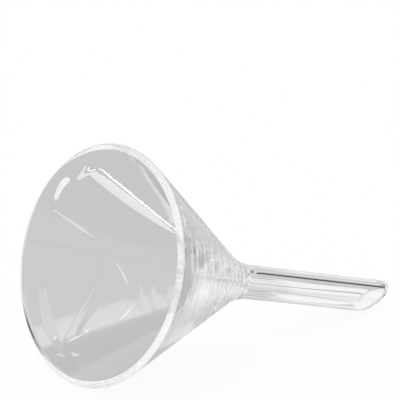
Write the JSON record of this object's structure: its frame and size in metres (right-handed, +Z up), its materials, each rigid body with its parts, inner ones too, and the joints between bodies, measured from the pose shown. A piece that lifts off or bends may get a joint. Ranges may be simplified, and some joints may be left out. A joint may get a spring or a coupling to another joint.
{
  "type": "filter funnel",
  "caption": "Clear glass filter funnel with a 60 degree cone, a melted lip and a short stem cut on the slant, lying on its side.",
  "frame": {"origin": "on the surface it lies on, below the centre of its outline seen from above", "axes": "+X from the mouth to the stem end, +Z up, Y=0 is the plane of symmetry; the funnel's own axis dips 16.03 degrees below +X"},
  "size_m": [0.1292, 0.075, 0.0722],
  "materials": {
    "glass": "clear, smooth, fire polished"
  },
  "bodies": {
    "root": {"funnel": "glass"}
  },
  "joints": []
}
